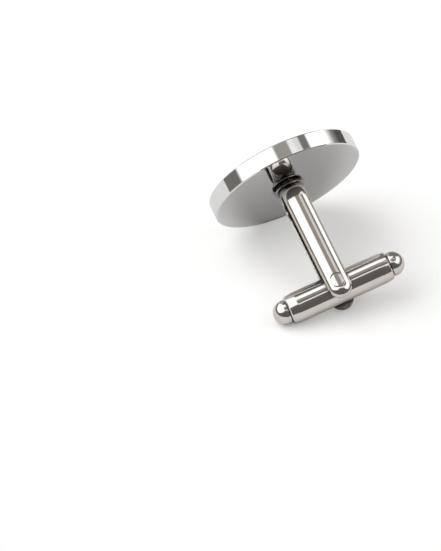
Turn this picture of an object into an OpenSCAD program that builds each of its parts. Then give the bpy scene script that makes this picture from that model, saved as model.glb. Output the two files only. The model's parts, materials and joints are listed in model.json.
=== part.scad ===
// Swivel-bar cufflink: a round polished face, a bent strip post and a hollow bar that clicks round on a pin.
// It lies as it does when it is put down: on the face's rim, the end of the lower arm and the low shoulder
// of the bar.
// Each piece is drawn about its pivot, with the pin along Z, the bar along X and the face towards -Y,
// and is then laid down with the others. Lengths are in millimetres and angles in degrees.

/* [Face] */
// Diameter of the face
face_d = 20.2; // [16:0.1:24]
// Thickness of the face
face_t = 2.25; // [1.6:0.05:3]
// Chamfer round the face's two edges
face_chamfer = 0.12; // [0.05:0.01:0.25]
// Depth of the blind socket that the stud is soldered into
socket_depth = 0.5; // [0.3:0.05:0.9]

/* [Post] */
// Distance from the back of the face to the pin's axis
post_reach = 15.4; // [14:0.1:18]
// Width of the strip
strip_w = 3.1; // [2.7:0.1:3.6]
// Thickness of the strip at its edges
strip_edge_t = 0.45; // [0.35:0.05:0.6]
// Rise of the strip's crowned side above its edges
strip_crown = 0.5; // [0.4:0.05:0.7]
// Width of the break along the strip's four edges
strip_break = 0.1; // [0.05:0.01:0.15]
// Distance from the pin's axis to the centre of the arms' round ends
arm_end = 0.65; // [0.2:0.05:1]
// Radius of the crowned side round each of the bend's two corners
corner_crest = 2.8; // [2.2:0.1:3.1]
// Depth of the flat ground under the bend, where the stud's flange seats
seat_flat = 0.5; // [0.3:0.05:0.6]

/* [Stud] */
// Diameter of the neck between the face and the flange
neck_d = 2.8; // [2.4:0.1:3.4]
// Height of the neck above the face
neck_h = 0.3; // [0.1:0.05:0.8]
// Diameter of the flange
flange_d = 4.1; // [3.6:0.1:5]
// Thickness of the flange
flange_t = 0.2; // [0.1:0.05:0.5]
// Diameter of the shank through the strip
shank_d = 1.5; // [1.2:0.1:1.8]
// Diameter of the peened head inside the bend
head_d = 2.2; // [2:0.1:2.4]
// Height of the peened head
head_h = 0.45; // [0.4:0.05:0.6]

/* [Pin] */
// Diameter of the pivot pin
pin_d = 1.7; // [1.5:0.05:1.9]
// Distance across the pin's four flats
pin_flats = 1.44; // [1.3:0.02:1.48]
// Length of the flats along the pin
flats_l = 2.4; // [2.2:0.1:2.6]
// Width of the seam round the pin's ends
seam_w = 0.14; // [0.08:0.01:0.2]
// Depth of the seam below the arm's crest
seam_depth = 0.12; // [0.06:0.01:0.2]

/* [Bar] */
// Diameter of the bar
bar_d = 3.96; // [3.8:0.02:4.4]
// Length of the tube, without its end balls
tube_l = 14.1; // [12.5:0.1:15.5]
// Bore of the tube
bore_d = 3; // [2.8:0.05:3.2]
// Length of the tapered shoulder at each end of the tube, without the break
shoulder_l = 1.15; // [0.8:0.05:2.4]
// Diameter at the end of a shoulder
shoulder_end_d = 3.7; // [3.4:0.02:3.76]
// Slope of a shoulder where it starts, as a share of its mean slope
shoulder_start_share = 0.6; // [0.2:0.1:0.9]
// Width of the break round the tube's two ends
lip_break = 0.14; // [0.05:0.01:0.15]
// Diameter of an end ball
ball_d = 3.2; // [3:0.05:3.6]
// Distance from a ball's flat back to its centre
ball_back = 0.3; // [0.1:0.05:0.5]
// Width of the groove between the tube and a ball
groove_w = 0.15; // [0.08:0.01:0.3]
// Diameter at the bottom of the groove
groove_d = 2.7; // [2.4:0.05:2.8]
// Length of a ball's plug inside the tube
plug_l = 1.3; // [0.8:0.1:1.8]

/* [Springs] */
// Thickness of a leaf spring
leaf_t = 0.2; // [0.15:0.01:0.25]
// Width of a leaf spring's waist
waist_w = 1.5; // [1.2:0.05:1.8]
// Length of a leaf spring's waist
waist_l = 7.6; // [5:0.1:9]

/* [Clearances] */
// Gap between the pin and the hole in the tube, on the radius
pin_clear = 0.03; // [0.02:0.01:0.06]
// Gap between the tube and each arm
arm_clear = 0.3; // [0.1:0.05:0.4]
// Gap between a leaf spring and a corner of the pin's flats
leaf_clear = 0.01; // [0.01:0.01:0.03]
// Gap between a leaf spring's edges and the bore
leaf_edge_clear = 0.02; // [0.01:0.01:0.05]
// Gap between a leaf spring's ends and the balls' plugs
leaf_end_clear = 0.1; // [0.05:0.05:0.3]

/* [Hidden] */
$fn = 96;
// How far a cut runs past what it cuts
overrun = 1;

// The strip's section: flat inside, and an arc outside
crown_r = (pow(strip_w / 2, 2) + pow(strip_crown, 2)) / (2 * strip_crown);
arm_in = bar_d / 2 + arm_clear;
arm_edge = arm_in + strip_edge_t;
arm_crest = arm_edge + strip_crown;
crown_axis = arm_crest - crown_r;
// The break along the outer edges is midway in slope between the strip's side and its crown
outer_break_angle = (90 + asin(strip_w / 2 / crown_r)) / 2;

// The bend's corners: their inside radius, and how far their centres stand from the middle of the post
corner_in = corner_crest - strip_crown - strip_edge_t;
corner_shift = arm_crest - corner_crest;

// Heights above the back of the face, along the post
seat_h = neck_h + flange_t;
bend_h = seat_h + corner_crest - seat_flat;
web_top_h = bend_h - corner_in;

// The peened head is a cap of a sphere, and the shank reaches this share of its height
head_r = (pow(head_d / 2, 2) + pow(head_h, 2)) / (2 * head_h);
shank_in_head_share = 0.5;

// A shoulder's arc: its slope grows from the first to the last, and it ends at the break
shoulder_start = tube_l / 2 - lip_break - shoulder_l;
shoulder_drop = (bar_d - shoulder_end_d) / 2;
shoulder_slope = atan(shoulder_drop / shoulder_l);
first_slope = shoulder_start_share * shoulder_slope;
last_slope = 2 * shoulder_slope - first_slope;
shoulder_r = shoulder_l / (sin(last_slope) - sin(first_slope));
shoulder_centre = [bar_d / 2 - shoulder_r * cos(first_slope), shoulder_start - shoulder_r * sin(first_slope)];

// The balls and the springs, along the bar
ball_x = tube_l / 2 + groove_w + ball_back;
leaf_in = pin_d / 2 + leaf_clear;
leaf_w = 2 * (sqrt(pow(bore_d / 2, 2) - pow(leaf_in + leaf_t, 2)) - leaf_edge_clear);
leaf_l = tube_l - 2 * (plug_l + leaf_end_clear);

// How the cufflink lies. The end of the lower arm sets the pivot's height, the face's rim then sets
// how far the post leans, and the low end of the bar sets how far the bar rolls.
function pivot_height(lean, roll) = arm_end * sin(lean) + crown_axis * cos(lean) * cos(roll) + crown_r;
function lean_at(height) =
    acos(height / norm([face_d / 2, rim_reach])) - atan(rim_reach / (face_d / 2));
// A shoulder is lowest where its slope is the bar's pitch, or else at the nearer end of its arc.
function shoulder_low(pitch) =
    let (slope = max(first_slope, min(last_slope, pitch)))
    shoulder_centre + shoulder_r * [cos(slope), sin(slope)];
// The bar pitches until its low shoulder or its low ball touches, whichever is first.
function pitch_on(low, height) =
    min(asin(height / norm(low)) - atan(low[0] / low[1]), asin((height - ball_d / 2) / ball_x));
// Each depends a little on the others, so they are worked out again until the height has settled.
function settled(height, pitch) =
    let (lean = lean_at(height), next_pitch = pitch_on(shoulder_low(pitch), height))
    let (roll = asin(sin(next_pitch) / cos(lean)), next = pivot_height(lean, roll))
    abs(next - height) < height * settled_share ? [lean, roll, next] : settled(next, next_pitch);
settled_share = 0.000000001;
rim_reach = post_reach + face_chamfer;
rest = settled(arm_crest, 0);
lean = rest[0];
roll = rest[1];
pivot_z = rest[2];

// The pivot's place along Y, so that the origin is under the middle of the whole cufflink
front_y = -(post_reach + face_t) * cos(lean) - (face_d / 2 - face_chamfer) * sin(lean);
arm_tip_y = arm_end * cos(lean) + (arm_edge - strip_break) * cos(roll) * sin(lean)
    + strip_w / 2 * norm([cos(lean), sin(roll) * sin(lean)]);
pivot_y = -(front_y + arm_tip_y) / 2;

// Lays down what is drawn about the pivot
module laid() {
    translate([0, pivot_y, pivot_z]) rotate([-lean, 0, 0]) rotate([0, roll, 0]) children();
}

// Stands what is drawn upwards on the back of the face
module on_face() {
    translate([0, -post_reach, 0]) rotate([-90, 0, 0]) children();
}

// Turns what is drawn upwards so that it points along the bar
module along_bar() {
    rotate([0, 90, 0]) children();
}

// Section of the strip, with its flat side at the height of the arms' inner faces
module strip_section() {
    side = strip_w / 2;
    break_h = arm_edge - strip_break;
    top = arm_crest + overrun;
    top_side = side - (top - break_h) / tan(outer_break_angle);
    intersection() {
        polygon([
            [strip_break - side, arm_in],
            [side - strip_break, arm_in],
            [side, arm_in + strip_break],
            [side, break_h],
            [top_side, top],
            [-top_side, top],
            [-side, break_h],
            [-side, arm_in + strip_break]
        ]);
        translate([0, crown_axis]) circle(r = crown_r);
    }
}

// The upper arm, from the bend to its round, domed end
module arm() {
    translate([0, arm_end, 0]) {
        rotate([90, 0, 0]) linear_extrude(height = arm_end + post_reach - bend_h) strip_section();
        rotate_extrude(angle = 180) intersection() {
            strip_section();
            square([strip_w, arm_crest]);
        }
    }
}

// The strip's section beside a corner's centre
module corner_section() {
    translate([0, -corner_shift]) strip_section();
}

// The quarter turn from the upper arm to the web
module corner() {
    translate([0, 0, corner_shift]) rotate([0, 90, 0]) rotate([0, 0, 180])
        rotate_extrude(angle = 90) rotate(-90) corner_section();
}

// The bend that joins the two arms: two corners, with a short straight web between them
module bend() {
    translate([0, bend_h - post_reach, 0]) {
        corner();
        mirror([0, 0, 1]) corner();
        linear_extrude(height = 2 * corner_shift, center = true) mirror([0, 1]) corner_section();
    }
}

// The space inside the bend's corners
module bend_inside() {
    for (side = [-1, 1]) translate([0, side * corner_shift, 0]) rotate([0, 90, 0])
        cylinder(r = corner_in, h = strip_w + overrun, center = true);
    cube([strip_w + overrun, 2 * corner_shift, 2 * corner_in], center = true);
}

// A round bar across the arms' crests, to which both the arm's outside and the pin's end are polished
module crest_lens() {
    translate([0, 0, crown_axis]) rotate([90, 0, 0]) cylinder(r = crown_r, h = pin_d + overrun, center = true);
}

module face_disc() {
    color("silver") laid() on_face() difference() {
        rotate_extrude() polygon([
            [0, 0],
            [face_d / 2 - face_chamfer, 0],
            [face_d / 2, -face_chamfer],
            [face_d / 2, face_chamfer - face_t],
            [face_d / 2 - face_chamfer, -face_t],
            [0, -face_t]
        ]);
        translate([0, 0, -socket_depth]) cylinder(d = neck_d, h = socket_depth + overrun);
    }
}

module base_stud() {
    color("darkgray") laid() on_face() {
        translate([0, 0, -socket_depth]) cylinder(d = neck_d, h = socket_depth + neck_h);
        translate([0, 0, neck_h]) cylinder(d = flange_d, h = flange_t);
        translate([0, 0, seat_h])
            cylinder(d = shank_d, h = web_top_h - seat_h + head_h * shank_in_head_share);
        intersection() {
            translate([0, 0, web_top_h + head_h - head_r]) sphere(r = head_r);
            translate([0, 0, bend_h]) bend_inside();
        }
    }
}

module post_frame() {
    color("gainsboro") laid() difference() {
        union() {
            arm();
            mirror([0, 0, 1]) arm();
            bend();
        }
        on_face() translate([0, 0, seat_h]) {
            translate([-strip_w, -arm_crest, -overrun]) cube([2 * strip_w, 2 * arm_crest, overrun]);
            cylinder(d = shank_d, h = bend_h - seat_h);
        }
        cylinder(d = pin_d, h = 2 * (arm_crest + overrun), center = true);
        for (side = [0, 180]) rotate([side, 0, 0]) translate([0, 0, arm_crest - seam_depth])
            cylinder(d = pin_d + 2 * seam_w, h = seam_depth + overrun);
    }
}

module pivot_pin() {
    color("silver") laid() difference() {
        intersection() {
            cylinder(d = pin_d, h = 2 * (arm_crest + overrun), center = true);
            union() {
                crest_lens();
                mirror([0, 0, 1]) crest_lens();
            }
        }
        difference() {
            cylinder(d = pin_d + overrun, h = flats_l, center = true);
            cube([pin_flats, pin_flats, flats_l + overrun], center = true);
        }
    }
}

// One shoulder of the tube, from its own start to the tube's end
module shoulder_profile() {
    intersection() {
        polygon([
            [0, shoulder_start],
            [bar_d / 2, shoulder_start],
            [bar_d / 2, tube_l / 2 - lip_break - shoulder_drop],
            [shoulder_end_d / 2 - lip_break, tube_l / 2],
            [0, tube_l / 2]
        ]);
        translate(shoulder_centre) circle(r = shoulder_r);
    }
}

module toggle_tube() {
    color("silver") laid() difference() {
        along_bar() rotate_extrude() difference() {
            union() {
                translate([0, -shoulder_start]) square([bar_d / 2, 2 * shoulder_start]);
                shoulder_profile();
                mirror([0, 1]) shoulder_profile();
            }
            translate([0, -tube_l / 2 - overrun]) square([bore_d / 2, tube_l + 2 * overrun]);
        }
        cylinder(r = pin_d / 2 + pin_clear, h = bar_d + overrun, center = true);
    }
}

// An end ball with the plug that is pressed into the tube, at the +X end
module end_ball() {
    along_bar() {
        translate([0, 0, tube_l / 2 - plug_l]) cylinder(d = bore_d, h = plug_l);
        translate([0, 0, tube_l / 2 - plug_l]) cylinder(d = groove_d, h = plug_l + groove_w + ball_back);
        intersection() {
            translate([0, 0, ball_x]) sphere(d = ball_d);
            translate([0, 0, ball_x - ball_back]) cylinder(d = ball_d + overrun, h = ball_d);
        }
    }
}

module end_ball_left() {
    color("silver") laid() mirror([1, 0, 0]) end_ball();
}

module end_ball_right() {
    color("silver") laid() end_ball();
}

// A leaf spring on the far side of the pin from the face: wide ends that bear on the bore, and a
// waist that is free to bow outwards when a corner of the pin's flats passes under it
module detent_spring() {
    waist_cut = (leaf_w - waist_w) / 2;
    translate([0, leaf_in, 0]) rotate([-90, 0, 0]) linear_extrude(height = leaf_t) difference() {
        square([leaf_l, leaf_w], center = true);
        for (edge = [-leaf_w / 2, leaf_w / 2]) translate([0, edge]) {
            square([waist_l - 2 * waist_cut, 2 * waist_cut], center = true);
            for (end = [-1, 1]) translate([end * (waist_l / 2 - waist_cut), 0]) circle(r = waist_cut);
        }
    }
}

module detent_spring_front() {
    color("goldenrod") laid() mirror([0, 1, 0]) detent_spring();
}

module detent_spring_rear() {
    color("goldenrod") laid() detent_spring();
}

echo(lean = lean, roll = roll, pivot_y = pivot_y, pivot_z = pivot_z);

face_disc();
base_stud();
post_frame();
pivot_pin();
toggle_tube();
end_ball_left();
end_ball_right();
detent_spring_front();
detent_spring_rear();
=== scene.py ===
import json
import math

import bpy
from mathutils import Matrix, Vector


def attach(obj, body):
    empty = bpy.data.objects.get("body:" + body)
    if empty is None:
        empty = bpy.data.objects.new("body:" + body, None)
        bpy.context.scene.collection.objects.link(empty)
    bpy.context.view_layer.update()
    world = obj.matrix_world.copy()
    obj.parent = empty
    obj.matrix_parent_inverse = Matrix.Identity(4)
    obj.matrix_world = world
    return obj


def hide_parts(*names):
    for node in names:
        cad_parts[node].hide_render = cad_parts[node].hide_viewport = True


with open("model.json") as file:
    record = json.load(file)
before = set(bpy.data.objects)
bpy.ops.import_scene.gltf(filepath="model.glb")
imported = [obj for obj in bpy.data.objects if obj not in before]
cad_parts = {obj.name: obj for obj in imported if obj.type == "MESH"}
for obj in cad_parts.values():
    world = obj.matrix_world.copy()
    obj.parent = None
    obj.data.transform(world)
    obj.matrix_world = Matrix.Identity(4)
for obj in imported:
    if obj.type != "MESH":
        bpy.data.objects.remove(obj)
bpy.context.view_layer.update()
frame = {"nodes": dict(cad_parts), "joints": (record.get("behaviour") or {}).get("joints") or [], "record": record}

bl_info = {
    "name": "Swivel-bar cufflink",
    "version": (1, 0, 0),
    "blender": (4, 5, 0),
    "location": "3D View > Sidebar > Cufflink",
    "description": "Finishes the metal of a swivel-bar cufflink and sets up its studio",
    "category": "Material",
}

MM = 0.001
MICRON = 0.000001

# The photograph's frame, in pixels, and a usual sensor's longer side, in millimetres
FRAME_W = 441
FRAME_H = 551
SENSOR_MM = 36

# Where the pivot pin's middle lies in that frame
PIVOT_PX_X = 338.7
PIVOT_PX_Y = 288.1

# The round floor: its sides, and how far its middle lies behind the cufflink, as a share of its radius
FLOOR_SIDES = 96
FLOOR_SET_BACK = 0.2

# The floor that the camera sees turns to glowing white, painted light that fades the shadow, in a smooth
# step: the step's middle and its width, as shares of the shadow's reach
WHITEN_MIDDLE = 0.65
WHITEN_SOFT = 0.7

# Round the pin, edges are this many times crisper. This ends in a smooth step: its radius and its width.
PIN_CRISPNESS = 4
PIN_ZONE_RADIUS = 1.25 * MM
PIN_ZONE_SOFT = 0.4 * MM

# The soft patches that handling leaves: their size, and the values of their noise between which the worn
# colour sets in
PATCH_SIZE = 2.5 * MM
WEAR_START = 0.35
WEAR_FULL = 0.75

# The painted shade, which darkens the colour in crevices and near other parts: its colour, and the shares
# of open space between which it thins out to nothing
PAINTED_SHADE_COLOUR = (0.16, 0.15, 0.14, 1)
PAINTED_SHADE_FULL = 0.35
PAINTED_SHADE_GONE = 0.92

# Samples that the rounded edges and the painted shade take
SURFACE_SAMPLES = 8

# A Mix node's sockets share their names. These are the numbers of A, B and the result, for vectors and
# for colours.
VECTOR_A, VECTOR_B, VECTOR_RESULT = 4, 5, 1
COLOUR_A, COLOUR_B, COLOUR_RESULT = 6, 7, 2

WHITE = (1, 1, 1, 1)

# The strip post's mesh: stations along a domed end and round a corner, points of its section, and sides
# of a hole
DOME_STATIONS = 16
CORNER_STATIONS = 24
SECTION_POINTS = 65
HOLE_SIDES = 64
# How far a cut in it runs past what it cuts, and the sides of the block that grinds its seat
OVERRUN = 1 * MM
SEAT_BLOCK_SIDE = 10 * MM
# Its points nearer than this are joined, and its edges sharper than this stay sharp
JOIN_WITHIN = MICRON
SHARP_FROM = math.radians(30)

# The sky's lamps and bands, in degrees of bearing and of height. A span is its low end, its high end and
# the width of its soft edges. An edge is its place and that width. A lean is the shift of an end per degree.
BOX_SOFT = 6
RIGHT_BOX_INNER, RIGHT_BOX_LEAN = 86, -0.9
RIGHT_BOX_OUTER = 137
RIGHT_BOX_FOOT_EDGE = (22, 22)
RIGHT_BOX_TOP_EDGE = (56, 5)
LEFT_BOX_INNER, LEFT_BOX_LEAN = -93, 1.6
LEFT_BOX_INNERMOST = -18
LEFT_BOX_OUTER = -146
LEFT_BOX_FOOT = 17
LEFT_BOX_TOP, LEFT_BOX_TOP_LEAN = 69, -0.09
LEFT_BOX_FOOT_TOP_SOFT = 7
NEAR_PANEL_BEARINGS, NEAR_PANEL_HEIGHTS = (-22, 60, 10), (58, 65, 3)
RIGHT_PANEL_BEARINGS, RIGHT_PANEL_HEIGHTS = (88, 119, 6), (68, 84, 4)
FAR_PANEL_RIGHT_EDGE, FAR_PANEL_LEFT_EDGE, FAR_PANEL_HEIGHTS = (166, 4), (148, 4), (59, 83, 4)
HORIZON_HEIGHTS, HORIZON_REACH_EDGE = (-12, 8, 8), (65, 30)
CEILING_EDGE = (76, 6)

# The right-hand panel's level as a share of the others', and how much the walls dim near the camera and
# along the far horizon
RIGHT_PANEL_SHARE = 0.55
NEAR_WALL_DIMMING = 0.35
HORIZON_DIMMING = 0.6

# The frame's own directions: the pin, the bar, and the way that the post points
swivel = next(joint for joint in frame["joints"] if joint["name"] == "toggle_swivel")
front = next(mount for mount in frame["record"]["mounts"] if mount["name"] == "front_face")
PIVOT = Vector(swivel["pos_m"])
PIN_AXIS = Vector(swivel["axis"]).normalized()
POST_AXIS = -Vector(front["axis"]).normalized()
BAR_AXIS = POST_AXIS.cross(PIN_AXIS).normalized()

# Lays what is drawn about the pivot, with the bar along X, the face towards -Y and the pin along Z
LAID = Matrix.LocRotScale(PIVOT, Matrix((BAR_AXIS, POST_AXIS, PIN_AXIS)).transposed(), None)


class Wire:
    """A node's output that takes part in sums as a number does."""

    def __init__(self, graph, socket):
        self.graph = graph
        self.socket = socket

    def maths(self, operation, *values):
        return self.graph.node("ShaderNodeMath", {"operation": operation}, dict(enumerate(values)))

    def __add__(self, other):
        return self.maths("ADD", self, other)

    def __radd__(self, other):
        return self.maths("ADD", other, self)

    def __sub__(self, other):
        return self.maths("SUBTRACT", self, other)

    def __rsub__(self, other):
        return self.maths("SUBTRACT", other, self)

    def __mul__(self, other):
        return self.maths("MULTIPLY", self, other)

    def __rmul__(self, other):
        return self.maths("MULTIPLY", other, self)


class Graph:
    """Adds nodes to a shader or geometry tree."""

    def __init__(self, tree):
        self.tree = tree
        tree.nodes.clear()

    def node(self, kind, settings=None, inputs=None, output=0):
        """Adds one node: its settings first, then the values or wires of its sockets."""
        made = self.tree.nodes.new(kind)
        for name, value in (settings or {}).items():
            setattr(made, name, value)
        for key, value in (inputs or {}).items():
            if isinstance(value, Wire):
                self.tree.links.new(value.socket, made.inputs[key])
            else:
                made.inputs[key].default_value = value
        return Wire(self, made.outputs[output]) if len(made.outputs) else made

    def ramp(self, factor, stops):
        """A colour ramp between two stops, which are (place, colour) pairs."""
        wire = self.node("ShaderNodeValToRGB", {}, {"Fac": factor})
        for element, (place, colour) in zip(wire.socket.node.color_ramp.elements, stops):
            element.position = place
            element.color = colour
        return wire

    def along(self, vector, direction):
        """How far the vector reaches along a unit direction."""
        return self.node("ShaderNodeVectorMath", {"operation": "DOT_PRODUCT"}, {
            0: vector, 1: direction}, "Value")

    def distance_from_line(self, place, point, direction):
        """How far the place is from the line through a point along a unit direction."""
        away = self.node("ShaderNodeVectorMath", {"operation": "SUBTRACT"}, {0: place, 1: point})
        across = self.node("ShaderNodeVectorMath", {"operation": "CROSS_PRODUCT"}, {0: away, 1: direction})
        return self.node("ShaderNodeVectorMath", {"operation": "LENGTH"}, {0: across}, "Value")

    def above(self, value, edge, soft):
        """0 below the edge and 1 above it, with a smooth step of width soft."""
        return self.node("ShaderNodeMapRange", {"interpolation_type": "SMOOTHSTEP"}, {
            "Value": value, "From Min": edge - soft / 2, "From Max": edge + soft / 2})

    def between(self, value, low, high, soft):
        """1 where value lies between low and high, and 0 outside."""
        return self.above(value, low, soft) * (1 - self.above(value, high, soft))


def colour4(colour):
    return (*colour, 1)


# Metal finishes

def metal_surface(name, colour, worn_share, roughness, roughness_spread, along, mark_length, mark_width,
                  mark_depth, edge_radius, shade_reach):
    """A polished metal with fine polishing marks along one direction, and soft patches left by handling.
    Polishing rounds its edges, less so round the pin. Painted shade darkens the colour where ambient
    occlusion finds other surfaces near."""
    material = bpy.data.materials.new(name)
    material.use_nodes = True
    graph = Graph(material.node_tree)
    coordinates = graph.node("ShaderNodeTexCoord", output="Object")
    turn = along.rotation_difference(Vector((1, 0, 0))).to_euler()
    turned = graph.node("ShaderNodeMapping", {}, {"Vector": coordinates, "Rotation": turn})
    stretched = graph.node("ShaderNodeVectorMath", {"operation": "MULTIPLY"}, {
        0: turned, 1: (1 / mark_length, 1 / mark_width, 1 / mark_width)})
    marks = graph.node("ShaderNodeTexNoise", {}, {
        "Vector": stretched, "Scale": 1, "Detail": 3, "Roughness": 0.6})
    patches = graph.node("ShaderNodeTexNoise", {}, {
        "Vector": coordinates, "Scale": 1 / PATCH_SIZE, "Detail": 2, "Roughness": 0.5})
    worn_colour = [worn_share * part for part in colour]
    tint = graph.ramp(patches, [(WEAR_START, colour4(colour)), (WEAR_FULL, colour4(worn_colour))])
    rounded = graph.node("ShaderNodeBevel", {"samples": SURFACE_SAMPLES}, {"Radius": edge_radius})
    crisp = graph.node("ShaderNodeBevel", {"samples": SURFACE_SAMPLES}, {
        "Radius": edge_radius / PIN_CRISPNESS})
    from_pin = graph.distance_from_line(coordinates, PIVOT, PIN_AXIS)
    edges = graph.node("ShaderNodeMix", {"data_type": "VECTOR"}, {
        "Factor": graph.above(from_pin, PIN_ZONE_RADIUS, PIN_ZONE_SOFT),
        VECTOR_A: crisp, VECTOR_B: rounded}, VECTOR_RESULT)
    bump = graph.node("ShaderNodeBump", {}, {
        "Strength": 1, "Distance": mark_depth, "Height": marks, "Normal": edges})
    # Painted shade: the colour darkens in crevices and where other parts are near, found by ambient occlusion
    open_share = graph.node("ShaderNodeAmbientOcclusion", {"samples": SURFACE_SAMPLES}, {
        "Distance": shade_reach}, "AO")
    painted_shade = graph.ramp(open_share, [(PAINTED_SHADE_FULL, PAINTED_SHADE_COLOUR), (PAINTED_SHADE_GONE, WHITE)])
    shaded_tint = graph.node("ShaderNodeMix", {"data_type": "RGBA", "blend_type": "MULTIPLY"}, {
        "Factor": 1, COLOUR_A: tint, COLOUR_B: painted_shade}, COLOUR_RESULT)
    surface = graph.node("ShaderNodeBsdfPrincipled", {}, {
        "Base Color": shaded_tint,
        "Metallic": 1,
        "Roughness": roughness + roughness_spread * (marks + patches),
        "Normal": bump,
    })
    graph.node("ShaderNodeOutputMaterial", {}, {"Surface": surface})
    return material


def put_on(material, *nodes):
    """Gives the material to CAD nodes."""
    for name in nodes:
        for slot in frame["nodes"][name].material_slots:
            slot.material = material


# The strip post

def hairpin_tree():
    """Geometry nodes: a half-oval section swept along a hairpin, with domed ends, a seat and holes."""
    tree = bpy.data.node_groups.new("hairpin_strip", "GeometryNodeTree")
    graph = Graph(tree)
    names = ("Width", "Height", "Arm Gap", "Arm End", "Bend", "Corner Radius", "Seat", "Pin Diameter",
             "Seam Width", "Seam Depth", "Shank Diameter")
    for name in names:
        socket = tree.interface.new_socket(name, in_out="INPUT", socket_type="NodeSocketFloat")
        socket.subtype = "DISTANCE"
        socket.min_value = 0
    tree.interface.new_socket("Material", in_out="INPUT", socket_type="NodeSocketMaterial")
    tree.interface.new_socket("Geometry", in_out="OUTPUT", socket_type="NodeSocketGeometry")
    entry = tree.nodes.new("NodeGroupInput")
    (width, height, gap, end, bend, corner, seat, pin, seam_width, seam_depth, shank, material) = [
        Wire(graph, socket) for socket in entry.outputs[:-1]]
    half_width = width * 0.5
    arm_in = gap * 0.5

    # The path: stations along a quarter circle at each end give the dome, and two more make the corners
    last = 2 * DOME_STATIONS + 3
    index = graph.node("GeometryNodeInputIndex")
    from_end = index.maths("MINIMUM", index, last - index)
    is_corner = from_end.maths("GREATER_THAN", from_end, DOME_STATIONS + 0.5)
    turn = index.maths("MAXIMUM", math.pi / 2 - from_end * (math.pi / 2 / DOME_STATIONS), 0)
    reach = end + half_width * turn.maths("SINE", turn)
    side = 1 - 2 * index.maths("GREATER_THAN", index, last / 2)
    place = graph.node("ShaderNodeCombineXYZ", {}, {
        "Y": reach * (1 - is_corner) - bend * is_corner, "Z": arm_in * side})
    stations = graph.node("GeometryNodeMeshLine", {}, {"Count": last + 1})
    placed = graph.node("GeometryNodeSetPosition", {}, {"Geometry": stations, "Position": place})
    line = graph.node("GeometryNodeMeshToCurve", {}, {"Mesh": placed})
    thinned = graph.node("GeometryNodeSetCurveRadius", {}, {
        "Curve": line, "Radius": turn.maths("COSINE", turn)})
    path = graph.node("GeometryNodeFilletCurve", {"mode": "POLY"}, {
        "Curve": thinned, "Count": CORNER_STATIONS, "Radius": corner * is_corner})
    upright = graph.node("GeometryNodeSetCurveNormal", {"mode": "FREE"}, {"Curve": path, "Normal": (1, 0, 0)})

    # The section: a half oval whose flat side runs along the path
    step = graph.node("GeometryNodeInputIndex") * (math.pi / (SECTION_POINTS - 1))
    outline = graph.node("ShaderNodeCombineXYZ", {}, {
        "X": half_width * step.maths("COSINE", step), "Y": height * step.maths("SINE", step)})
    oval = graph.node("GeometryNodeSetPosition", {}, {
        "Geometry": graph.node("GeometryNodeMeshLine", {}, {"Count": SECTION_POINTS}), "Position": outline})
    section = graph.node("GeometryNodeSetSplineCyclic", {}, {
        "Geometry": graph.node("GeometryNodeMeshToCurve", {}, {"Mesh": oval}), "Cyclic": True})
    swept = graph.node("GeometryNodeCurveToMesh", {}, {
        "Curve": upright, "Profile Curve": section, "Scale": graph.node("GeometryNodeInputRadius")})
    closed = graph.node("GeometryNodeMergeByDistance", {}, {"Geometry": swept, "Distance": JOIN_WITHIN})

    # The cuts: the pin's hole with its seams, the stud's hole, and the seat ground under the bend
    def cutter(diameter, depth, middle, turned=(0, 0, 0)):
        round_bar = graph.node("GeometryNodeMeshCylinder", {}, {
            "Vertices": HOLE_SIDES, "Radius": diameter * 0.5, "Depth": depth})
        return graph.node("GeometryNodeTransform", {}, {
            "Geometry": round_bar, "Translation": middle, "Rotation": turned})

    crest = arm_in + height
    cutters = [cutter(pin, 2 * crest + 2 * OVERRUN, (0, 0, 0))]
    for way in (-1, 1):
        seam_middle = graph.node("ShaderNodeCombineXYZ", {}, {"Z": way * (crest - seam_depth + OVERRUN / 2)})
        cutters.append(cutter(pin + 2 * seam_width, OVERRUN, seam_middle))
    stud_middle = graph.node("ShaderNodeCombineXYZ", {}, {"Y": 0 - seat})
    cutters.append(cutter(shank, 2 * height, stud_middle, (math.pi / 2, 0, 0)))
    block = graph.node("GeometryNodeMeshCube", {}, {"Size": (SEAT_BLOCK_SIDE, OVERRUN, SEAT_BLOCK_SIDE)})
    block_middle = graph.node("ShaderNodeCombineXYZ", {}, {"Y": -OVERRUN / 2 - seat})
    cutters.append(graph.node("GeometryNodeTransform", {}, {"Geometry": block, "Translation": block_middle}))
    cut = closed
    for tool in cutters:
        cut = graph.node("GeometryNodeMeshBoolean", {"operation": "DIFFERENCE", "solver": "EXACT"}, {
            "Mesh 1": cut, "Mesh 2": tool})

    # Smooth, but for the sharp edges
    angle = graph.node("GeometryNodeInputMeshEdgeAngle")
    smooth = graph.node("GeometryNodeSetShadeSmooth", {"domain": "EDGE"}, {
        "Geometry": cut, "Shade Smooth": angle.maths("LESS_THAN", angle, SHARP_FROM)})
    real = graph.node("GeometryNodeRealizeInstances", {}, {"Geometry": smooth})
    finished = graph.node("GeometryNodeSetMaterial", {}, {"Geometry": real, "Material": material})
    leave = tree.nodes.new("NodeGroupOutput")
    tree.links.new(finished.socket, leave.inputs["Geometry"])
    return tree


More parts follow.
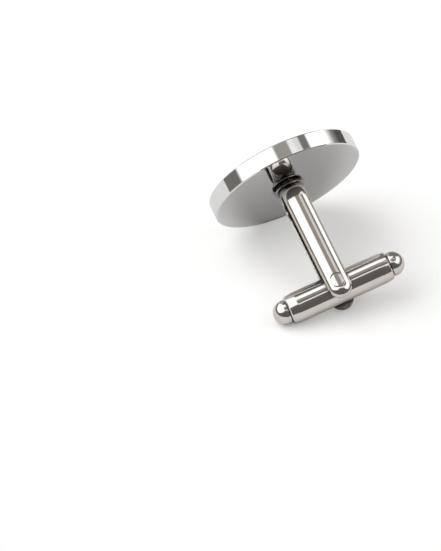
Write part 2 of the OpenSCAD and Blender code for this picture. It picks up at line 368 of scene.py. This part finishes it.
def add_strip_post(shape, material):
    """The strip post in place of its CAD solid, which has the same reach, width and bend."""
    # The tree's inputs are named after the properties: arm_gap feeds Arm Gap
    sizes = {key.replace("_", " ").title(): getattr(shape, key) for key in shape.__annotations__}
    sizes["Material"] = material
    post = bpy.data.objects.new("strip_post", bpy.data.meshes.new("strip_post"))
    bpy.context.scene.collection.objects.link(post)
    modifier = post.modifiers.new("hairpin", "NODES")
    modifier.node_group = hairpin_tree()
    for item in modifier.node_group.interface.items_tree:
        if item.in_out == "INPUT":
            modifier[item.identifier] = sizes[item.name]
    evaluated = post.evaluated_get(bpy.context.evaluated_depsgraph_get())
    made = bpy.data.meshes.new_from_object(evaluated)
    post.modifiers.clear()
    post.data = made
    made.name = "strip_post"
    # The cuts bring an empty material slot of their own
    while made.materials[0] is None:
        made.materials.pop(index=0)
    made.transform(LAID)
    if not made.polygons:
        raise RuntimeError("The strip post came out empty")
    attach(post, "face_and_post")
    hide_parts("post_frame")


def length_property(name, description, default_mm):
    """A length of the strip post, given in millimetres."""
    return bpy.props.FloatProperty(
        name=name, description=description, subtype="DISTANCE", unit="LENGTH", min=0, precision=5,
        default=default_mm * MM)


class CufflinkPost(bpy.types.PropertyGroup):
    """Sizes of the strip post."""

    width: length_property("Width", "Width of the strip", 3.1)
    height: length_property("Height", "Height of the half-oval section above its flat side", 0.95)
    arm_gap: length_property("Arm gap", "Space between the two arms", 4.56)
    arm_end: length_property("Arm end", "Distance from the pin's axis to the centre of the round ends", 0.65)
    bend: length_property("Bend", "Distance from the pin's axis to the inside of the bend", 14.45)
    corner_radius: length_property("Corner radius", "Inside radius of the bend's two corners", 1.85)
    seat: length_property("Seat", "Distance from the pin's axis to the flat ground under the bend", 14.9)
    pin_diameter: length_property("Pin diameter", "Diameter of the pin's holes", 1.7)
    seam_width: length_property("Seam width", "Width of the seam round the pin's ends", 0.14)
    seam_depth: length_property("Seam depth", "Depth of the seam below the arm's crest", 0.12)
    shank_diameter: length_property("Shank diameter", "Diameter of the hole for the stud's shank", 1.5)


class CufflinkFinish(bpy.types.PropertyGroup):
    """Colours and polish of the metals."""

    mirror_colour: bpy.props.FloatVectorProperty(
        name="Mirror colour", description="Colour of the polished face", subtype="COLOR", size=3,
        min=0, max=1, default=(0.845, 0.845, 0.85))
    mirror_roughness: bpy.props.FloatProperty(
        name="Mirror roughness", description="Roughness of the polished face", subtype="FACTOR",
        min=0, max=1, default=0.03)
    nickel_colour: bpy.props.FloatVectorProperty(
        name="Nickel colour", description="Colour of the post, the stud, the pin and the bar",
        subtype="COLOR", size=3, min=0, max=1, default=(0.73, 0.69, 0.66))
    nickel_roughness: bpy.props.FloatProperty(
        name="Nickel roughness", description="Roughness of the post, the stud, the pin and the bar",
        subtype="FACTOR", min=0, max=1, default=0.06)
    bronze_colour: bpy.props.FloatVectorProperty(
        name="Bronze colour", description="Colour of the springs in the bar", subtype="COLOR", size=3,
        min=0, max=1, default=(0.71, 0.5, 0.27))
    bronze_roughness: bpy.props.FloatProperty(
        name="Bronze roughness", description="Roughness of the springs in the bar", subtype="FACTOR",
        min=0, max=1, default=0.25)


class CufflinkStudio(bpy.types.PropertyGroup):
    """The camera, the lamps and the floor."""

    azimuth: bpy.props.FloatProperty(
        name="Azimuth", description="Where the camera stands round the cufflink; 0 looks along +Y",
        subtype="ANGLE", default=math.radians(153.19))
    elevation: bpy.props.FloatProperty(
        name="Elevation", description="How high the camera stands above the horizon",
        subtype="ANGLE", default=math.radians(43.92))
    distance: bpy.props.FloatProperty(
        name="Distance", description="Distance from the camera to the pivot pin", subtype="DISTANCE",
        unit="LENGTH", min=0.1, default=1.5)
    pixels_per_mm: bpy.props.FloatProperty(
        name="Pixels per millimetre", description="Scale of the picture at the pivot pin", min=1,
        default=7.85)
    floor_radius: bpy.props.FloatProperty(
        name="Floor radius", description="Radius of the round floor", subtype="DISTANCE", unit="LENGTH",
        min=0.08, default=0.1)
    floor_colour: bpy.props.FloatVectorProperty(
        name="Floor colour", description="Colour of the floor in reflections and as it lights the cufflink",
        subtype="COLOR", size=3, min=0, max=1, default=(0.74, 0.74, 0.74))
    seen_floor_colour: bpy.props.FloatVectorProperty(
        name="Seen floor colour", description="Colour of the floor as the camera sees it",
        subtype="COLOR", size=3, min=0, max=1, default=(0.98, 0.98, 0.98))
    shadow_fill: bpy.props.FloatProperty(
        name="Shadow fill", subtype="FACTOR", min=0, max=1, default=0.3,
        description="Share of plain white in the floor that the camera sees near the cufflink")
    shadow_reach: bpy.props.FloatProperty(
        name="Shadow reach", subtype="DISTANCE", unit="LENGTH", min=0.015, default=0.03,
        description="Distance from the cufflink's middle at which the seen floor is all white")
    box_level: bpy.props.FloatProperty(
        name="Box level", description="Brightness of the soft boxes on both sides", min=0, default=1.42)
    panel_level: bpy.props.FloatProperty(
        name="Panel level", description="Brightness of the three panels high up", min=0, default=1.15)
    top_level: bpy.props.FloatProperty(
        name="Top level", description="Brightness of the ceiling, beyond that of the walls", min=0,
        default=0.175)
    wall_level: bpy.props.FloatProperty(
        name="Wall level", description="Brightness of the dim walls", min=0, default=0.19)
    wall_colour: bpy.props.FloatVectorProperty(
        name="Wall colour", description="Colour of the dim walls", subtype="COLOR", size=3,
        min=0, max=1, default=(1, 0.95, 0.87))
    key_level: bpy.props.FloatProperty(
        name="Key level", description="Power of the soft lamp that throws the shadow", min=0, default=1.1)
    key_azimuth: bpy.props.FloatProperty(
        name="Key azimuth", description="Where the soft lamp stands round the cufflink, from +X",
        subtype="ANGLE", default=math.radians(330))
    key_elevation: bpy.props.FloatProperty(
        name="Key elevation", description="How high the soft lamp stands above the horizon",
        subtype="ANGLE", default=math.radians(48))
    key_angle: bpy.props.FloatProperty(
        name="Key angle", description="How wide the soft lamp looks from the cufflink",
        subtype="ANGLE", default=math.radians(60))


class CUFFLINK_OT_face(bpy.types.Operator):
    """Polish the face like a mirror"""

    bl_idname = "cufflink.face"
    bl_label = "Finish the face"

    def execute(self, context):
        look = context.scene.cufflink_finish
        mirror = metal_surface(
            "mirror_face", look.mirror_colour, worn_share=0.97, roughness=look.mirror_roughness,
            roughness_spread=0.02, along=BAR_AXIS, mark_length=2 * MM, mark_width=0.05 * MM,
            mark_depth=0.02 * MICRON, edge_radius=0.05 * MM, shade_reach=0.6 * MM)
        put_on(mirror, "face_disc")
        return {"FINISHED"}


class CUFFLINK_OT_post(bpy.types.Operator):
    """Finish the strip post, its stud and the pivot pin"""

    bl_idname = "cufflink.post"
    bl_label = "Finish the post"

    def execute(self, context):
        look = context.scene.cufflink_finish
        # Its painted shade reaches farthest, and darkens the post near the face and round its bend
        drawn = metal_surface(
            "drawn_nickel", look.nickel_colour, worn_share=0.96, roughness=look.nickel_roughness,
            roughness_spread=0.04, along=POST_AXIS, mark_length=3 * MM, mark_width=0.06 * MM,
            mark_depth=0.1 * MICRON, edge_radius=0.3 * MM, shade_reach=3.5 * MM)
        put_on(drawn, "post_frame", "base_stud", "pivot_pin")
        add_strip_post(context.scene.cufflink_post, drawn)
        return {"FINISHED"}


class CUFFLINK_OT_toggle(bpy.types.Operator):
    """Finish the swivel bar: the tube and its two end balls"""

    bl_idname = "cufflink.toggle"
    bl_label = "Finish the swivel bar"

    def execute(self, context):
        look = context.scene.cufflink_finish
        turned = metal_surface(
            "turned_nickel", look.nickel_colour, worn_share=0.96, roughness=look.nickel_roughness,
            roughness_spread=0.04, along=BAR_AXIS, mark_length=0.06 * MM, mark_width=1.5 * MM,
            mark_depth=0.1 * MICRON, edge_radius=0.06 * MM, shade_reach=0.8 * MM)
        put_on(turned, "toggle_tube", "end_ball_left", "end_ball_right")
        return {"FINISHED"}


class CUFFLINK_OT_springs(bpy.types.Operator):
    """Finish the two leaf springs inside the bar"""

    bl_idname = "cufflink.springs"
    bl_label = "Finish the leaf springs"

    def execute(self, context):
        look = context.scene.cufflink_finish
        bronze = metal_surface(
            "rolled_bronze", look.bronze_colour, worn_share=0.8, roughness=look.bronze_roughness,
            roughness_spread=0.1, along=BAR_AXIS, mark_length=2 * MM, mark_width=0.05 * MM,
            mark_depth=0.5 * MICRON, edge_radius=0.02 * MM, shade_reach=0.3 * MM)
        put_on(bronze, "detent_spring_front", "detent_spring_rear")
        return {"FINISHED"}


# Studio

def camera_directions(studio):
    """Unit vectors from the object: back to the camera, and the picture's right and up."""
    level = math.cos(studio.elevation)
    back = Vector((
        math.sin(studio.azimuth) * level, -math.cos(studio.azimuth) * level, math.sin(studio.elevation)))
    right = Vector((math.cos(studio.azimuth), math.sin(studio.azimuth), 0))
    return back, right, back.cross(right)


def add_camera(studio):
    """A long lens that shows the pivot pin at its place in the frame."""
    back, right, up = camera_directions(studio)
    metres_per_pixel = MM / studio.pixels_per_mm
    aim = PIVOT - right * (PIVOT_PX_X - FRAME_W / 2) * metres_per_pixel
    aim += up * (PIVOT_PX_Y - FRAME_H / 2) * metres_per_pixel
    data = bpy.data.cameras.new("camera")
    data.sensor_width = SENSOR_MM
    data.lens = SENSOR_MM * studio.distance / (FRAME_H * metres_per_pixel)
    data.clip_start = studio.distance / 10
    data.clip_end = studio.distance * 10
    camera = bpy.data.objects.new("camera", data)
    camera.location = aim + back * studio.distance
    camera.rotation_mode = "QUATERNION"
    camera.rotation_quaternion = (-back).to_track_quat("-Z", "Y")
    bpy.context.scene.collection.objects.link(camera)
    bpy.context.scene.camera = camera


def add_floor(studio):
    """A round white floor under the cufflink, set back from the camera. The camera sees it paler and mixed with
    glowing white, painted light that lightens the shadow.
    """
    back, _, _ = camera_directions(studio)
    turns = [math.tau * step / FLOOR_SIDES for step in range(FLOOR_SIDES)]
    rim = [studio.floor_radius * (Vector((math.cos(turn), math.sin(turn), 0)) - FLOOR_SET_BACK * back)
           for turn in turns]
    mesh = bpy.data.meshes.new("floor")
    mesh.from_pydata([(x, y, 0) for x, y, _ in rim], [], [range(FLOOR_SIDES)])
    floor = bpy.data.objects.new("floor", mesh)
    bpy.context.scene.collection.objects.link(floor)
    material = bpy.data.materials.new("white_floor")
    material.use_nodes = True
    graph = Graph(material.node_tree)
    around = graph.node("ShaderNodeBsdfDiffuse", {}, {"Color": colour4(studio.floor_colour)})
    lit = graph.node("ShaderNodeBsdfDiffuse", {}, {"Color": colour4(studio.seen_floor_colour)})
    white = graph.node("ShaderNodeEmission", {}, {"Color": WHITE, "Strength": 1})
    coordinates = graph.node("ShaderNodeTexCoord", output="Object")
    from_middle = graph.distance_from_line(coordinates, Vector((0, 0, 0)), Vector((0, 0, 1)))
    # Painted light: the camera sees a paler floor than reflections do, mixed with glowing white that lightens the
    # shadow near the cufflink and hides it beyond the shadow's reach
    far = graph.above(
        from_middle, WHITEN_MIDDLE * studio.shadow_reach, WHITEN_SOFT * studio.shadow_reach)
    fill = studio.shadow_fill + (1 - studio.shadow_fill) * far
    seen = graph.node("ShaderNodeMixShader", {}, {0: fill, 1: lit, 2: white})
    path = graph.node("ShaderNodeLightPath", output="Is Camera Ray")
    surface = graph.node("ShaderNodeMixShader", {}, {0: path, 1: around, 2: seen})
    graph.node("ShaderNodeOutputMaterial", {}, {"Surface": surface})
    mesh.materials.append(material)


def add_key_lamp(studio):
    """A broad soft lamp on the picture's left, which throws the shadow and shows in no reflection."""
    data = bpy.data.lights.new("key_lamp", "SUN")
    data.energy = studio.key_level
    data.angle = studio.key_angle
    lamp = bpy.data.objects.new("key_lamp", data)
    lamp.rotation_euler = (0, math.pi / 2 - studio.key_elevation, studio.key_azimuth)
    lamp.visible_glossy = False
    bpy.context.scene.collection.objects.link(lamp)


def add_world(studio):
    """The studio all round: soft boxes, panels higher up, and dim walls. The camera sees white."""
    world = bpy.data.worlds.new("studio")
    bpy.context.scene.world = world
    world.use_nodes = True
    graph = Graph(world.node_tree)
    back, right, _ = camera_directions(studio)
    direction = graph.node("ShaderNodeTexCoord", output="Generated")
    towards = graph.along(direction, Vector((back.x, back.y, 0)).normalized())
    aside = graph.along(direction, right)
    upwards = graph.along(direction, Vector((0, 0, 1)))

    # In degrees: the height above the horizon, and the bearing, which is 0 at the camera and grows to the
    # picture's right
    height = upwards.maths("DEGREES", upwards.maths("ARCSINE", upwards))
    bearing = aside.maths("DEGREES", aside.maths("ARCTAN2", aside, towards))
    from_far = 180 - bearing.maths("ABSOLUTE", bearing)

    # The inner ends of both soft boxes lean towards the camera as they rise
    right_inner = RIGHT_BOX_INNER + RIGHT_BOX_LEAN * height
    right_box = graph.between(bearing, right_inner, RIGHT_BOX_OUTER, BOX_SOFT)
    right_box = right_box * graph.above(height, *RIGHT_BOX_FOOT_EDGE)
    right_box = right_box * (1 - graph.above(height, *RIGHT_BOX_TOP_EDGE))
    left_inner = height.maths("MINIMUM", LEFT_BOX_INNER + LEFT_BOX_LEAN * height, LEFT_BOX_INNERMOST)
    left_top = LEFT_BOX_TOP + LEFT_BOX_TOP_LEAN * bearing
    left_box = graph.between(bearing, LEFT_BOX_OUTER, left_inner, BOX_SOFT)
    left_box = left_box * graph.between(height, LEFT_BOX_FOOT, left_top, LEFT_BOX_FOOT_TOP_SOFT)

    near_panel = graph.between(bearing, *NEAR_PANEL_BEARINGS) * graph.between(height, *NEAR_PANEL_HEIGHTS)
    right_panel = graph.between(bearing, *RIGHT_PANEL_BEARINGS) * graph.between(height, *RIGHT_PANEL_HEIGHTS)
    far_panel = graph.above(bearing, *FAR_PANEL_RIGHT_EDGE) + graph.above(0 - bearing, *FAR_PANEL_LEFT_EDGE)
    far_panel = far_panel * graph.between(height, *FAR_PANEL_HEIGHTS)
    panels = near_panel + RIGHT_PANEL_SHARE * right_panel + far_panel
    lamps = studio.box_level * (right_box + left_box) + studio.panel_level * panels

    # The walls dim near the camera and along the far horizon, and the ceiling is lighter
    horizon = graph.between(height, *HORIZON_HEIGHTS) * (1 - graph.above(from_far, *HORIZON_REACH_EDGE))
    walls = studio.wall_level * (1 - NEAR_WALL_DIMMING * towards) * (1 - HORIZON_DIMMING * horizon)
    walls = walls + studio.top_level * graph.above(height, *CEILING_EDGE)

    lamp_light = graph.node("ShaderNodeBackground", {}, {"Color": WHITE, "Strength": lamps})
    wall_light = graph.node("ShaderNodeBackground", {}, {
        "Color": colour4(studio.wall_colour), "Strength": walls})
    light = graph.node("ShaderNodeAddShader", {}, {0: lamp_light, 1: wall_light})
    path = graph.node("ShaderNodeLightPath", output="Is Camera Ray")
    white = graph.node("ShaderNodeBackground", {}, {"Color": WHITE, "Strength": 1})
    seen = graph.node("ShaderNodeMixShader", {}, {0: path, 1: light, 2: white})
    graph.node("ShaderNodeOutputWorld", {}, {"Surface": seen})


class CUFFLINK_OT_stage(bpy.types.Operator):
    """Set up the camera, the floor, the lamps and the view settings"""

    bl_idname = "cufflink.stage"
    bl_label = "Set up the studio"

    def execute(self, context):
        studio = context.scene.cufflink_studio
        context.scene.view_settings.view_transform = "Standard"
        add_camera(studio)
        add_floor(studio)
        add_key_lamp(studio)
        add_world(studio)
        return {"FINISHED"}


class CUFFLINK_PT_panel(bpy.types.Panel):
    """The cufflink's tools in the 3D view's sidebar"""

    bl_label = "Cufflink"
    bl_idname = "CUFFLINK_PT_panel"
    bl_space_type = "VIEW_3D"
    bl_region_type = "UI"
    bl_category = "Cufflink"

    def draw(self, context):
        scene = context.scene
        for group in (scene.cufflink_post, scene.cufflink_finish, scene.cufflink_studio):
            for name in group.__annotations__:
                self.layout.prop(group, name)
        for operator in OPERATORS:
            self.layout.operator(operator.bl_idname)


OPERATORS = (CUFFLINK_OT_stage, CUFFLINK_OT_face, CUFFLINK_OT_post, CUFFLINK_OT_toggle, CUFFLINK_OT_springs)
GROUPS = (CufflinkPost, CufflinkFinish, CufflinkStudio)
CLASSES = (*GROUPS, *OPERATORS, CUFFLINK_PT_panel)


def register():
    for cls in CLASSES:
        bpy.utils.register_class(cls)
    bpy.types.Scene.cufflink_post = bpy.props.PointerProperty(type=CufflinkPost)
    bpy.types.Scene.cufflink_finish = bpy.props.PointerProperty(type=CufflinkFinish)
    bpy.types.Scene.cufflink_studio = bpy.props.PointerProperty(type=CufflinkStudio)


def unregister():
    del bpy.types.Scene.cufflink_studio
    del bpy.types.Scene.cufflink_finish
    del bpy.types.Scene.cufflink_post
    for cls in reversed(CLASSES):
        bpy.utils.unregister_class(cls)


def main():
    register()
    bpy.ops.cufflink.stage()
    bpy.ops.cufflink.face()
    bpy.ops.cufflink.post()
    bpy.ops.cufflink.toggle()
    bpy.ops.cufflink.springs()


if __name__ == "__main__":
    main()
